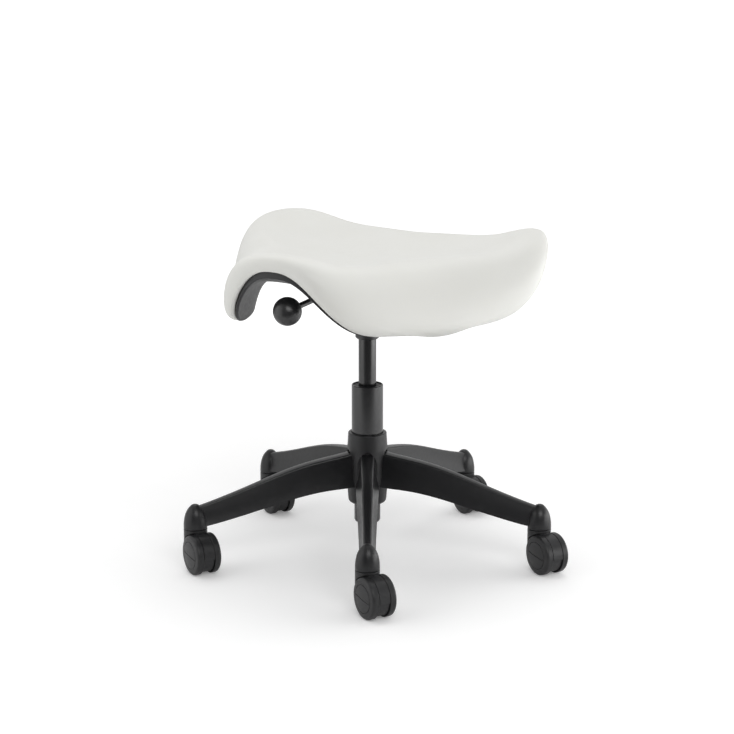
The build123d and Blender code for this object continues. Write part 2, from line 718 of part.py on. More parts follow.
def make_plate_screw():
    """Button-head screw, head under the plate, with a hexagon socket."""
    head_radius, head_height = 5.25, 3.3
    tip = SHELL_FLAT_TOP_Z - 0.5
    head_z = PLATE_BOTTOM_Z - head_height
    screw = rod(head_radius, head_z, PLATE_BOTTOM_Z)
    screw = fillet(rim_edges(screw, head_radius, head_z), 2.0)
    screw += rod(SCREW_RADIUS, PLATE_BOTTOM_Z, tip)
    socket = Pos(0, 0, head_z) * extrude(RegularPolygon(2.3, 6), 2.0)
    return screw - socket


def make_tee_nut():
    """Flanged insert let into the top of the shell."""
    return turned(
        [
            (SCREW_RADIUS, PLATE_TOP_Z),
            (INSERT_RADIUS, PLATE_TOP_Z),
            (INSERT_RADIUS, SHELL_FLAT_TOP_Z - INSERT_FLANGE),
            (INSERT_FLANGE_RADIUS, SHELL_FLAT_TOP_Z - INSERT_FLANGE),
            (INSERT_FLANGE_RADIUS, SHELL_FLAT_TOP_Z),
            (SCREW_RADIUS, SHELL_FLAT_TOP_Z),
        ]
    )


# ---- seat ---------------------------------------------------------------------------------------------
def wave(parts, angle):
    """Sum of the waves in a seat-form tuple at one angle."""
    return sum(size * cos(3 * order * angle) for order, size in enumerate(parts))


def from_corner(angle):
    """Angle from the nearest seat corner."""
    return abs((angle + pi / 3) % (2 * pi / 3) - pi / 3)


def rim_radius(angle):
    """Radius of the seat's widest line: straight sides blended into blunt corners."""
    side = cos(pi / 3 - from_corner(angle)) / SIDE_DISTANCE
    tip = cos(from_corner(angle)) / CORNER_DISTANCE
    return (side**PLAN_SHARPNESS + tip**PLAN_SHARPNESS) ** (-1 / PLAN_SHARPNESS)


def rim_height(angle):
    """Height of the padding's lower edge: an arch over each corner, nearly level between."""
    arch = exp(-((from_corner(angle) / radians(ARCH_SPREAD)) ** ARCH_POWER))
    return RIM_LOW_Z + (RIM_HIGH_Z - RIM_LOW_Z) * arch + RIM_SWELL * (1 + cos(3 * angle)) / 2


def top_height(radius, angle):
    """Height of the seat's upper face inside its rolled edge."""
    q = radius / DISH_RADIUS
    height = CENTRE_TOP_Z + DISH_ROUND[0] * q**2 + DISH_ROUND[1] * q**4
    height += (DISH_THREE_WAVE[0] * q**3 + DISH_THREE_WAVE[1] * q**5) * cos(3 * angle)
    return height + DISH_SIX_WAVE * q**6 * cos(6 * angle)


def tuck(angle):
    """How far the padding's lower edge turns in under the widest place."""
    return max(wave(TUCK_UNDER, angle), TUCK_LEAST)


def hem_end(angle):
    """Radius at which the upholstery's turned-in hem stops."""
    return rim_radius(angle) - tuck(angle) - wave(HEM_WIDTH, angle)


def pad_top(share, inset, angle):
    """Point on the upper face: share 0 at the axis end, 1 where the edge begins to roll."""
    inner = 12.0
    limit = rim_radius(angle) - wave(EDGE_WIDTH, angle)
    radius = inner + (limit - inner) * share
    height = CENTRE_TOP_Z if share == 0 else top_height(radius, angle)
    return radius, height - inset


def pad_edge(turn, inset, angle):
    """Point on the rolled edge: turn 90 meets the upper face, 0 is the widest place, -90 the lower edge."""
    outer, width = rim_radius(angle), wave(EDGE_WIDTH, angle)
    bottom = rim_height(angle)
    crest = top_height(outer - width, angle)
    level = bottom + (crest - bottom) * wave(EDGE_LEVEL, angle)
    c, s = cos(radians(turn)), sin(radians(turn))
    if turn >= 0:
        climb = (crest - top_height(outer - width - 5, angle)) / 5
        reach = (width - inset) * c**EDGE_FULLNESS
        height = level + (crest - inset - level) * s**EDGE_FULLNESS
        return outer - width + reach, height + EDGE_LIFT * climb * reach * s
    radius = outer - inset * c - tuck(angle) * (1 - c)
    return radius, level + (level - bottom - inset) * s


def pad_hem(inset, clear, angle):
    """Point at the inner end of the turned-in hem, kept clear of it by a distance."""
    return hem_end(angle) - clear, rim_height(angle) + inset


def shell_rim(angle):
    """Radius of the shell's outer wall."""
    return hem_end(angle) - SHELL_RIM_GAP


def shell_low(angle):
    """Height of the shell's lowest line: hidden under the lobes, a hanging band under the corners."""
    corner = (1 + cos(3 * angle)) / 2
    return rim_height(angle) - SHELL_RIM_BELOW - SHELL_BAND_HEIGHT * corner**SHELL_BAND_POWER


def shell_outer(share, gap, angle):
    """Point on the shell's upper side: share 0 at its flat middle, 1 at its rim."""
    rise = wave(SHELL_RISE, angle)
    rim_top = rim_height(angle) + SHELL_RIM_ABOVE
    height = SHELL_FLAT_TOP_Z + rise * share**SHELL_RISE_POWER
    height += (rim_top - SHELL_FLAT_TOP_Z - rise) * share**SHELL_FLANK_POWER
    return SHELL_FLAT_RADIUS + (shell_rim(angle) + gap - SHELL_FLAT_RADIUS) * share, height + gap


def shell_inner(share, angle):
    """Point on the shell's underside, set in from the rim by the shell's thickness."""
    rise = wave(SHELL_RISE, angle)
    end = rim_height(angle) + SHELL_EDGE_ROUND - SHELL_RIM_BELOW + 0.6
    height = PLATE_TOP_Z + rise * share**SHELL_RISE_POWER
    height += (end - PLATE_TOP_Z - rise) * share**SHELL_FLANK_POWER
    rim = shell_rim(angle) - SHELL_THICKNESS
    return SHELL_FLAT_RADIUS + (rim - SHELL_FLAT_RADIUS) * share, height


def shell_lip(inward, raised, angle):
    """Point on the shell's rim, measured in from its outside and up from its lowest line."""
    return shell_rim(angle) - inward, shell_low(angle) + raised


def loop(point):
    """Closed smooth wire round the column axis through point(angle) = (radius, height)."""
    points = []
    for i in range(RING_POINTS):
        angle = 2 * pi * i / RING_POINTS
        radius, height = point(angle)
        points.append((radius * cos(angle), radius * sin(angle), height))
    return Wire([Edge.make_spline(points, periodic=True)])


def skin(points):
    """Closed solid through a chain of loops, flat inside the first and the last."""
    return Solid.make_loft([loop(p) for p in points], ruled=True)


TOP_SHARES = (0.0, 0.25, 0.5, 0.7, 0.85, 1.0)
EDGE_TURNS = (72, 54, 38, 22, 8, -10, -30, -50, -70, -90)
SHELL_SHARES = (0.0, 0.2, 0.4, 0.55, 0.7, 0.8, 0.88, 0.95, 1.0)


def pad_points(inset):
    """Loops of the padding from the middle of its upper face to its lower edge."""
    loops = [lambda a, s=s: pad_top(s, inset, a) for s in TOP_SHARES]
    return loops + [lambda a, t=t: pad_edge(t, inset, a) for t in EDGE_TURNS]


def make_seat_cover():
    """Upholstery skin over the foam, hemmed in underneath."""
    hem = [lambda a: pad_hem(0.0, 0.0, a), lambda a: pad_hem(COVER_THICKNESS, 0.0, a)]
    return skin(pad_points(0.0) + hem + list(reversed(pad_points(COVER_THICKNESS))))


def make_seat_foam():
    """Foam between cover and shell, with the shell's rim let into its underside."""
    inset = COVER_THICKNESS + FOAM_GAP
    clear = SHELL_RIM_GAP - SHELL_GAP
    under = [lambda a, s=s: shell_outer(s, SHELL_GAP, a) for s in reversed(SHELL_SHARES)]
    return skin(pad_points(inset) + [lambda a: pad_hem(inset, clear, a)] + under)


def make_seat_shell():
    """Moulded shell: flat in the middle, with a banded rim and seats for the inserts."""
    upper = [lambda a, s=s: shell_outer(s, 0.0, a) for s in SHELL_SHARES]
    lower = [lambda a, s=s: shell_inner(s, a) for s in reversed(SHELL_SHARES)]
    r = SHELL_EDGE_ROUND
    lip = [
        lambda a: shell_lip(0.0, r, a),
        lambda a: shell_lip(0.3 * r, 0.3 * r, a),
        lambda a: shell_lip(r, 0.0, a),
        lambda a: shell_lip(SHELL_THICKNESS - r, 0.0, a),
        lambda a: shell_lip(SHELL_THICKNESS, r, a),
    ]
    shell = skin(upper + lip + lower)
    seats = rod(INSERT_RADIUS, PLATE_TOP_Z - 1, SHELL_FLAT_TOP_Z + 1)
    seats += rod(INSERT_FLANGE_RADIUS, SHELL_FLAT_TOP_Z - INSERT_FLANGE, SHELL_FLAT_TOP_Z + 1)
    for seat in around(seats, SCREW_ANGLES, SCREW_CIRCLE_RADIUS):
        shell -= seat
    return shell


# ---- build --------------------------------------------------------------------------------------------
os.makedirs("parts", exist_ok=True)

save("base_star", make_base_star())
save("stem_sockets", *around(make_stem_sleeve(), ARM_ANGLES, STEM_CIRCLE_RADIUS))
save("column_tube", make_column_tube())
save("column_bushing", make_column_bushing())
save("piston_rod", make_piston_rod())
save("piston", make_piston())
save("thrust_washers", *make_thrust_washers())
save("thrust_balls", *make_thrust_balls())
save("rod_clip", make_rod_clip())
save("rubber_bumper", make_bumper())
save("gas_cylinder", make_gas_cylinder())
save("rod_guide", make_rod_guide())
save("valve_body", make_valve_body())
save("release_pin", make_release_pin())
save("taper_socket", make_taper_socket())
save("lever_bracket", make_lever_bracket())
save("lever_pin", make_lever_pin())
lever = make_lever_rod()
save("lever_rod", towards_lever(lever))
save("lever_knob", towards_lever(Pos(KNOB_REACH, 0, KNOB_Z) * Sphere(KNOB_RADIUS) - lever))
save("mounting_plate", make_mounting_plate())
save("plate_screws", *around(make_plate_screw(), SCREW_ANGLES, SCREW_CIRCLE_RADIUS))
save("tee_nuts", *around(make_tee_nut(), SCREW_ANGLES, SCREW_CIRCLE_RADIUS))
save("seat_shell", make_seat_shell())
save("seat_foam", make_seat_foam())
save("seat_cover", make_seat_cover())

hood, stem, axle, wheel, cap = make_hood(), make_stem(), make_axle(), make_wheel(), make_cap()
for number, angle in enumerate(ARM_ANGLES, start=1):
    spot = Rot(0, 0, angle) * Pos(STEM_CIRCLE_RADIUS, 0, 0) * Rot(0, 0, CASTER_HEADING - angle)
    save(f"caster_hood_{number}", spot * hood)
    save(f"caster_stem_{number}", spot * stem)
    save(f"caster_axle_{number}", spot * axle)
    for side, letter in ((-1, "a"), (1, "b")):
        save(f"wheel_{letter}_{number}", spot * on_axle(wheel, side))
        save(f"wheel_cap_{letter}_{number}", spot * on_axle(cap, side))
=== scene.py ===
"""Looks of the saddle stool: materials for every CAD piece, and a finely modelled seat."""

import json
from math import cos, exp, pi, radians, sin

import bpy
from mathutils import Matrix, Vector


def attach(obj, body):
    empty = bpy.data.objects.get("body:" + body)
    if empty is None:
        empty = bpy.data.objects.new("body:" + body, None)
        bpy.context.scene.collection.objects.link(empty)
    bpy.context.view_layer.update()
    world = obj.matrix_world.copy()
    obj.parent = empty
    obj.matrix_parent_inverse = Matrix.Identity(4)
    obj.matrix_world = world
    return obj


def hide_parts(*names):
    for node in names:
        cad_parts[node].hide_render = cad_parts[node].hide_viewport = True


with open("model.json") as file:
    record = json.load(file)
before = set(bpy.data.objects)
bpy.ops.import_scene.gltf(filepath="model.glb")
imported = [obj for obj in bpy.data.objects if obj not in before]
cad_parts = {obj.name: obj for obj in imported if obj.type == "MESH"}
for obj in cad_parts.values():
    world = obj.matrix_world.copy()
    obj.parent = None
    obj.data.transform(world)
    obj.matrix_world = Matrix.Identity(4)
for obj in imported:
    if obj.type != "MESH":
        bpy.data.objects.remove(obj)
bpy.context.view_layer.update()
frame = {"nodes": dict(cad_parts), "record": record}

MM = 0.001

# ---- seat form, in millimetres and degrees, as the CAD solids have it ------------------------------------
# Seat plan: a triangle with bowed sides and blunt round corners, which point to 0, 120 and 240 degrees.
# Its rim is high at the corners and hangs low along the sides. The functions take an angle in radians.
SIDE_DISTANCE = 216.0
CORNER_DISTANCE = 279.0
PLAN_SHARPNESS = 12.6
RIM_LOW_Z = 396.5
RIM_HIGH_Z = 494.5
RIM_SWELL = 5.0
ARCH_SPREAD = 18.8
ARCH_POWER = 2.5
# A tuple, but for the dish's, is a wave round the column axis: its mean, then its crests at the three
# corners, then its crests at the corners and at the middles of the sides.
EDGE_WIDTH = (59.3, -11.2)
EDGE_LEVEL = (0.25, 0.28)
EDGE_FULLNESS = 0.94
EDGE_LIFT = 0.5
EDGE_SLOPE_STEP = 5.0
TUCK_UNDER = (19.0, -13.0, -3.0)
TUCK_LEAST = 3.0
HEM_WIDTH = (3.5, -0.5)
# The upper face is a dish, and a dish tuple weighs two powers of the radius as a share of DISH_RADIUS.
CENTRE_TOP_Z = 477.9
DISH_RADIUS = 250.0
DISH_ROUND = (45.7, -10.6)
DISH_THREE_WAVE = (-45.6, 56.4)
DISH_SIX_WAVE = 9.0
COVER_THICKNESS = 1.3
FOAM_GAP = 0.3
SHELL_GAP = 0.4
PLATE_TOP_Z = 438.0
SHELL_FLAT_TOP_Z = 444.0
SHELL_FLAT_RADIUS = 66.0
SHELL_THICKNESS = 6.0
SHELL_RIM_GAP = 1.0
SHELL_RIM_ABOVE = 7.0
SHELL_RIM_BELOW = -0.5
SHELL_BAND_HEIGHT = 11.5
SHELL_BAND_POWER = 2.4
SHELL_RISE = (38.0, 14.0)
SHELL_RISE_POWER = 1.2
SHELL_FLANK_POWER = 8.0
SHELL_EDGE_ROUND = 1.4
SHELL_INNER_STEP = 0.6


def wave(parts, angle):
    """Sum of the waves in a seat-form tuple at one angle."""
    return sum(size * cos(3 * order * angle) for order, size in enumerate(parts))


def from_corner(angle):
    """Angle from the nearest seat corner."""
    return abs((angle + pi / 3) % (2 * pi / 3) - pi / 3)


def rim_radius(angle):
    """Radius of the seat's widest line: straight sides blended into blunt corners."""
    side = cos(pi / 3 - from_corner(angle)) / SIDE_DISTANCE
    tip = cos(from_corner(angle)) / CORNER_DISTANCE
    return (side**PLAN_SHARPNESS + tip**PLAN_SHARPNESS) ** (-1 / PLAN_SHARPNESS)


def rim_height(angle):
    """Height of the padding's lower edge: an arch over each corner, nearly level between."""
    arch = exp(-((from_corner(angle) / radians(ARCH_SPREAD)) ** ARCH_POWER))
    return RIM_LOW_Z + (RIM_HIGH_Z - RIM_LOW_Z) * arch + RIM_SWELL * (1 + cos(3 * angle)) / 2


def top_height(radius, angle):
    """Height of the seat's upper face inside its rolled edge."""
    q = radius / DISH_RADIUS
    height = CENTRE_TOP_Z + DISH_ROUND[0] * q**2 + DISH_ROUND[1] * q**4
    height += (DISH_THREE_WAVE[0] * q**3 + DISH_THREE_WAVE[1] * q**5) * cos(3 * angle)
    return height + DISH_SIX_WAVE * q**6 * cos(6 * angle)


def tuck(angle):
    """How far the padding's lower edge turns in under the widest place."""
    return max(wave(TUCK_UNDER, angle), TUCK_LEAST)


def hem_end(angle):
    """Radius at which the upholstery's turned-in hem stops."""
    return rim_radius(angle) - tuck(angle) - wave(HEM_WIDTH, angle)


def pad_top(share, angle):
    """Point on the upper face: share 0 at the axis, 1 where the edge begins to roll."""
    radius = (rim_radius(angle) - wave(EDGE_WIDTH, angle)) * share
    return radius, top_height(radius, angle)


def pad_edge(turn, angle):
    """Point on the rolled edge: turn 90 meets the upper face, 0 is the widest place, -90 the lower edge."""
    outer, width = rim_radius(angle), wave(EDGE_WIDTH, angle)
    bottom = rim_height(angle)
    crest = top_height(outer - width, angle)
    level = bottom + (crest - bottom) * wave(EDGE_LEVEL, angle)
    c, s = cos(radians(turn)), sin(radians(turn))
    if turn >= 0:
        climb = (crest - top_height(outer - width - EDGE_SLOPE_STEP, angle)) / EDGE_SLOPE_STEP
        reach = width * c**EDGE_FULLNESS
        height = level + (crest - level) * s**EDGE_FULLNESS
        return outer - width + reach, height + EDGE_LIFT * climb * reach * s
    return outer - tuck(angle) * (1 - c), level + (level - bottom) * s


def pad_hem(share, angle):
    """Point on the turned-in hem: share 0 at the lower edge, 1 at its inner end."""
    return hem_end(angle) + wave(HEM_WIDTH, angle) * (1 - share), rim_height(angle)


def shell_rim(angle):
    """Radius of the shell's outer wall."""
    return hem_end(angle) - SHELL_RIM_GAP


def shell_low(angle):
    """Height of the shell's lowest line: hidden under the lobes, a hanging band under the corners."""
    corner = (1 + cos(3 * angle)) / 2
    return rim_height(angle) - SHELL_RIM_BELOW - SHELL_BAND_HEIGHT * corner**SHELL_BAND_POWER


def shell_upper(share, gap, angle):
    """Point above the shell by a gap: share 0 at its flat middle's edge, 1 at its rim."""
    rise = wave(SHELL_RISE, angle)
    rim_top = rim_height(angle) + SHELL_RIM_ABOVE
    height = SHELL_FLAT_TOP_Z + rise * share**SHELL_RISE_POWER
    height += (rim_top - SHELL_FLAT_TOP_Z - rise) * share**SHELL_FLANK_POWER
    return SHELL_FLAT_RADIUS + (shell_rim(angle) + gap - SHELL_FLAT_RADIUS) * share, height + gap


def shell_lower(share, angle):
    """Point on the shell's underside, set in from the rim by the shell's thickness."""
    rise = wave(SHELL_RISE, angle)
    end = rim_height(angle) + SHELL_EDGE_ROUND - SHELL_RIM_BELOW + SHELL_INNER_STEP
    height = PLATE_TOP_Z + rise * share**SHELL_RISE_POWER
    height += (end - PLATE_TOP_Z - rise) * share**SHELL_FLANK_POWER
    rim = shell_rim(angle) - SHELL_THICKNESS
    return SHELL_FLAT_RADIUS + (rim - SHELL_FLAT_RADIUS) * share, height


def with_flat_middle(surface, share, angle):
    """A shell surface continued over its flat middle: share 0 at the axis, 1 at the rim."""
    flat_share = SHELL_FLAT_RADIUS / rim_radius(angle)
    if share < flat_share:
        radius, height = surface(0.0)
        return radius * share / flat_share, height
    return surface((share - flat_share) / (1 - flat_share))


def shell_top(share, gap, angle):
    """Point above the whole shell by a gap: share 0 at the axis, 1 at its rim."""
    return with_flat_middle(lambda part: shell_upper(part, gap, angle), share, angle)


def shell_under(share, angle):
    """Point on the whole underside of the shell: share 0 at the axis, 1 at its rim."""
    return with_flat_middle(lambda part: shell_lower(part, angle), share, angle)


def shell_lip(inward, raised, angle):
    """Point on the shell's rim, measured in from its outside and up from its lowest line."""
    return shell_rim(angle) - inward, shell_low(angle) + raised


def blend(start, end, share):
    """Point part of the way from one (radius, height) to another."""
    return tuple(a + (b - a) * share for a, b in zip(start, end))


def shell_outside(share, angle):
    """Point on the shell's outer wall: share 0 at its upper edge, 1 where the lip begins to round."""
    return blend(shell_upper(1.0, 0.0, angle), shell_lip(0.0, SHELL_EDGE_ROUND, angle), share)


def shell_inside(share, angle):
    """Point on the shell's inner wall: share 0 where the lip ends, 1 where the underside begins."""
    return blend(shell_lip(SHELL_THICKNESS, SHELL_EDGE_ROUND, angle), shell_lower(1.0, angle), share)


# ---- mesh building ---------------------------------------------------------------------------------------
def new_object(name, data):
    """A new object in the scene."""
    made = bpy.data.objects.new(name, data)
    bpy.context.scene.collection.objects.link(made)
    return made


class Skin:
    """Mesh of even quads: discs about the column axis, and rows that run round between them."""

    def __init__(self):
        self.points = []
        self.faces = []

    def ring(self, count, place):
        """Adds count points round the axis at place(angle) = (radius, height)."""
        first = len(self.points)
        for i in range(count):
            angle = 2 * pi * i / count
            radius, height = place(angle)
            self.points.append(Vector((radius * cos(angle), radius * sin(angle), height)) * MM)
        return list(range(first, first + count))

    def disc(self, rings, place, rim=None, downwards=False):
        """Grows a disc ring by ring, out to a rim if that is given, with place(share, angle) for its points.

        Ring k has 8k points, as four sides of 2k. Each side is joined to the next ring by one quad at its
        corner and a row of quads along it.
        """
        inner = self.ring(1, lambda angle: place(0.0, angle))
        for k in range(rings):
            if rim is not None and k == rings - 1:
                outer = rim
            else:
                outer = self.ring(8 * (k + 1), lambda angle: place((k + 1) / rings, angle))
            for side in range(4):
                near = side * 2 * k
                far = side * 2 * (k + 1)
                quads = [(inner[near], outer[far - 1], outer[far], outer[far + 1])]
                for i in range(2 * k):
                    next_far = outer[(far + i + 2) % len(outer)]
                    next_near = inner[(near + i + 1) % len(inner)]
                    quads.append((inner[near + i], outer[far + i + 1], next_far, next_near))
                self.faces += [tuple(reversed(quad)) if downwards else quad for quad in quads]
            inner = outer
        return inner

    def row(self, above, place):
        """Adds a row of points outside or below the last one, and joins the two."""
        below = self.ring(len(above), place)
        for i in range(len(above)):
            j = (i + 1) % len(above)
            self.faces.append((above[i], below[i], below[j], above[j]))
        return below

    def piece(self, name):
        """The finished mesh as an object with smooth shading."""
        mesh = bpy.data.meshes.new(name)
        mesh.from_pydata(self.points, [], self.faces)
        mesh.shade_smooth()
        return new_object(name, mesh)


# ---- materials -------------------------------------------------------------------------------------------
# Sockets of a Mix node go by number, because several share a name.
MIX_FACTOR, MIX_NUMBER_A, MIX_NUMBER_B, MIX_COLOR_A, MIX_COLOR_B = 0, 2, 3, 6, 7
MIX_NUMBER_OUT, MIX_COLOR_OUT = 0, 2
# Range in which most values of a texture lie.
TEXTURE_LOW = 0.3
TEXTURE_HIGH = 0.7
# How alike the rounded and the plain normal are where an edge is painted paler in full (partly wear, partly
# painted highlight), and where it isn't.
EDGE_WORN_AND_LIT = 0.75
EDGE_PLAIN = 0.99
EDGE_SAMPLES = 6


class Nodes:
    """A node tree, with short ways to add to it."""

    def __init__(self, tree):
        self.tree = tree

    def add(self, kind, **settings):
        """A new node with its settings."""
        node = self.tree.nodes.new(kind)
        for key, value in settings.items():
            setattr(node, key, value)
        return node

    def feed(self, socket, value):
        """Links an output to an input, or sets a constant on it."""
        if isinstance(value, bpy.types.NodeSocket):
            self.tree.links.new(value, socket)
        else:
            socket.default_value = value

    def map_range(self, value, start, end, low, high):
        """Maps a value that runs from start to end onto low to high."""
        node = self.add("ShaderNodeMapRange")
        self.feed(node.inputs["Value"], value)
        for key, number in (("From Min", start), ("From Max", end), ("To Min", low), ("To Max", high)):
            node.inputs[key].default_value = number
        return node.outputs["Result"]


class Look(Nodes):
    """One procedural material. Sizes are in millimetres on the real object."""

    def __init__(self, name, color, roughness, metallic=0.0, specular=0.5):
        self.material = bpy.data.materials.new(name)
        self.material.use_nodes = True
        super().__init__(self.material.node_tree)
        self.shader = self.tree.nodes["Principled BSDF"]
        self.place = self.add("ShaderNodeTexCoord").outputs["Object"]
        self.color = color
        self.normal = None
        self.set("Metallic", metallic)
        self.set("Specular IOR Level", specular)
        self.set("Base Color", (*color, 1))
        self.set("Roughness", roughness)

    def set(self, name, value):
        """Sets a constant on one of the shader's own sockets."""
        self.shader.inputs[name].default_value = value

    def stretched(self, scale):
        """Coordinates scaled differently along the three axes."""
        mapping = self.add("ShaderNodeMapping")
        self.feed(mapping.inputs["Vector"], self.place)
        mapping.inputs["Scale"].default_value = scale
        return mapping.outputs["Vector"]

    def noise(self, size, detail=3.0, place=None):
        """Soft noise whose features are about size across."""
        node = self.add("ShaderNodeTexNoise")
        self.feed(node.inputs["Vector"], place or self.place)
        node.inputs["Scale"].default_value = 1 / (size * MM)
        node.inputs["Detail"].default_value = detail
        return node.outputs["Fac"]

    def cells(self, size, feature="DISTANCE_TO_EDGE"):
        """Irregular cells about size across: low along their borders, or at their middles with feature F1."""
        node = self.add("ShaderNodeTexVoronoi", feature=feature)
        self.feed(node.inputs["Vector"], self.place)
        node.inputs["Scale"].default_value = 1 / (size * MM)
        return node.outputs["Distance"]

    def spread(self, texture, low, high):
        """Maps a texture's middle range onto low to high."""
        return self.map_range(texture, TEXTURE_LOW, TEXTURE_HIGH, low, high)

    def tint(self, factor, color):
        """Mixes another colour into what the surface has so far, by a factor."""
        node = self.add("ShaderNodeMix", data_type="RGBA")
        base = self.shader.inputs["Base Color"]
        earlier = base.links[0].from_socket if base.links else (*self.color, 1)
        self.feed(node.inputs[MIX_FACTOR], factor)
        self.feed(node.inputs[MIX_COLOR_A], earlier)
        node.inputs[MIX_COLOR_B].default_value = (*color, 1)
        self.feed(base, node.outputs[MIX_COLOR_OUT])

    def mottle(self, size, strength, color):
        """Soft patches of another colour, about size across."""
        self.tint(self.spread(self.noise(size), 0.0, strength), color)

    def gloss(self, texture, low, high):
        """Roughness that drifts between two values with a texture."""
        self.feed(self.shader.inputs["Roughness"], self.spread(texture, low, high))

    def relief(self, height_map, height):
        """Fine relief of a real height, on top of what is there."""
        node = self.add("ShaderNodeBump")
        node.inputs["Distance"].default_value = height * MM
        self.feed(node.inputs["Height"], height_map)
        if self.normal is not None:
            self.feed(node.inputs["Normal"], self.normal)
        self.normal = node.outputs["Normal"]
        self.feed(self.shader.inputs["Normal"], self.normal)

    def soft_edges(self, radius, wear_and_highlight_color, amount):
        """Rounds sharp edges by a radius in the light, and paints them paler, partly as wear and partly as a
        painted highlight.
        """
        bevel = self.add("ShaderNodeBevel", samples=EDGE_SAMPLES)
        bevel.inputs["Radius"].default_value = radius * MM
        plain = self.add("ShaderNodeNewGeometry").outputs["Normal"]
        match = self.add("ShaderNodeVectorMath", operation="DOT_PRODUCT")
        self.feed(match.inputs[0], bevel.outputs["Normal"])
        self.feed(match.inputs[1], plain)
        # Paler edges: partly wear, partly a painted highlight where rounded edges catch the light.
        self.tint(self.map_range(match.outputs["Value"], EDGE_WORN_AND_LIT, EDGE_PLAIN, amount, 0.0), wear_and_highlight_color)
        self.normal = bevel.outputs["Normal"]
        self.feed(self.shader.inputs["Normal"], self.normal)


def scaled(color, times):
    """A colour made brighter, or darker with a number below one."""
    return tuple(c * times for c in color)


def upholstery():
    """Off-white artificial leather, taut and satin, with a fine pressed grain."""
    look = Look("upholstery", (0.80, 0.80, 0.765), roughness=0.42, specular=0.42)
    look.mottle(size=70.0, strength=0.35, color=(0.765, 0.762, 0.715))
    look.gloss(look.noise(9.0), 0.38, 0.47)
    look.relief(look.cells(0.9), height=0.035)
    look.relief(look.noise(3.2, detail=2.0), height=0.05)
    look.set("Sheen Weight", 0.08)
    look.set("Sheen Roughness", 0.5)
    return look.material


def foam():
    """Moulded flexible foam with open pores."""
    look = Look("foam", (0.78, 0.74, 0.58), roughness=0.9, specular=0.2)
    look.mottle(size=12.0, strength=0.5, color=(0.70, 0.64, 0.46))
    look.relief(look.cells(1.6, "F1"), height=0.6)
    return look.material


def black_plastic(name, color, rough, texture, edge):
    """Black moulded plastic: faint flow marks, fine texture, and edges that are rounded and paler."""
    look = Look(name, color, roughness=rough[1], specular=0.46)
    look.mottle(size=35.0, strength=0.3, color=scaled(color, 1.35))
    look.soft_edges(edge, wear_and_highlight_color=scaled(color, 2.2), amount=0.5)
    look.gloss(look.noise(6.0), *rough)
    look.relief(look.noise(texture, detail=2.0), height=0.006)
    return look.material


def coated_steel(name, color, rough):
    """Smooth black coat on steel, slightly uneven in tone and gloss."""
    look = Look(name, color, roughness=rough[1], specular=0.8)
    look.mottle(size=60.0, strength=0.3, color=scaled(color, 1.3))
    look.gloss(look.noise(40.0), *rough)
    return look.material


def bright_metal(name, color, rough):
    """Machined metal with fine turning marks across its axis."""
    look = Look(name, color, roughness=rough[1], metallic=1.0)
    marks = look.noise(0.5, detail=2.0, place=look.stretched((0.12, 0.12, 1.0)))
    look.mottle(size=5.0, strength=0.35, color=scaled(color, 0.72))
    look.gloss(marks, *rough)
    look.relief(marks, height=0.008)
    return look.material


def rubber():
    """Dull black rubber."""
    look = Look("rubber", (0.02, 0.02, 0.02), roughness=0.75, specular=0.4)
    look.mottle(size=4.0, strength=0.4, color=(0.035, 0.034, 0.033))
    look.relief(look.noise(0.6), height=0.03)
    return look.material


def polished_phenolic():
    """Black ball knob: glossy under a thin clear layer, with faint polishing haze."""
    look = Look("knob", (0.012, 0.012, 0.013), roughness=0.2, specular=0.6)
    look.mottle(size=9.0, strength=0.3, color=(0.02, 0.02, 0.021))
    look.gloss(look.noise(5.0), 0.30, 0.40)
    look.relief(look.noise(7.0, detail=1.0), height=0.002)
    look.set("Coat Weight", 0.15)
    look.set("Coat Roughness", 0.25)
    return look.material


materials = {
    "upholstery": upholstery(),
    "foam": foam(),
    "shell": black_plastic("shell", (0.022, 0.022, 0.023), rough=(0.42, 0.52), texture=0.7, edge=0.8),
    "base": black_plastic("base", (0.009, 0.009, 0.010), rough=(0.30, 0.40), texture=0.6, edge=1.2),
    "caster": black_plastic("caster", (0.013, 0.013, 0.014), rough=(0.34, 0.44), texture=0.5, edge=0.6),
    "wheel": black_plastic("wheel", (0.011, 0.011, 0.012), rough=(0.34, 0.44), texture=0.5, edge=0.6),
    "column": coated_steel("column", (0.009, 0.009, 0.010), rough=(0.17, 0.21)),
    "cylinder": coated_steel("cylinder", (0.012, 0.012, 0.013), rough=(0.16, 0.20)),
    "mechanism": coated_steel("mechanism", (0.010, 0.010, 0.011), rough=(0.32, 0.42)),
    "bushing": black_plastic("bushing", (0.014, 0.014, 0.014), rough=(0.40, 0.50), texture=0.4, edge=0.4),
    "steel": bright_metal("steel", (0.62, 0.62, 0.63), rough=(0.22, 0.38)),
    "brass": bright_metal("brass", (0.78, 0.58, 0.28), rough=(0.24, 0.38)),
    "rubber": rubber(),
    "knob": polished_phenolic(),
}


def finish_piece(piece, slot):
    """Gives a piece the material of a slot, by the object's own material slot."""
    if not piece.material_slots:
        piece.data.materials.append(materials[slot])
    for entry in piece.material_slots:
        entry.link = "OBJECT"
        entry.material = materials[slot]


for part in frame["record"]["subparts"]:
    finish_piece(frame["nodes"][part["node"]], part["material_slot"])


# ---- seat ------------------------------------------------------------------------------------------------
SEAT_RINGS = 36
EDGE_TURNS = (78, 66, 55, 45, 36, 27, 18, 9, 0, -12, -25, -38, -51, -64, -77, -90)
HEM_SHARES = (0.5, 1.0)
OUTSIDE_SHARES = (0.15, 0.4, 0.7, 0.9)
INSIDE_SHARES = (0.3, 0.7)
LIP_TURNS = (0, 22.5, 45, 67.5, 90)
FOAM_EDGE_OUT = 2.0
# The cloth starts a little inside its form, and no point ends further from the form than the cap.
SIM_START_INSET = 0.8
SIM_CAP = 1.4
SIM_FRAMES = 16
SIM_PRESSURE = 3.0
SIM_SMOOTHING = 10


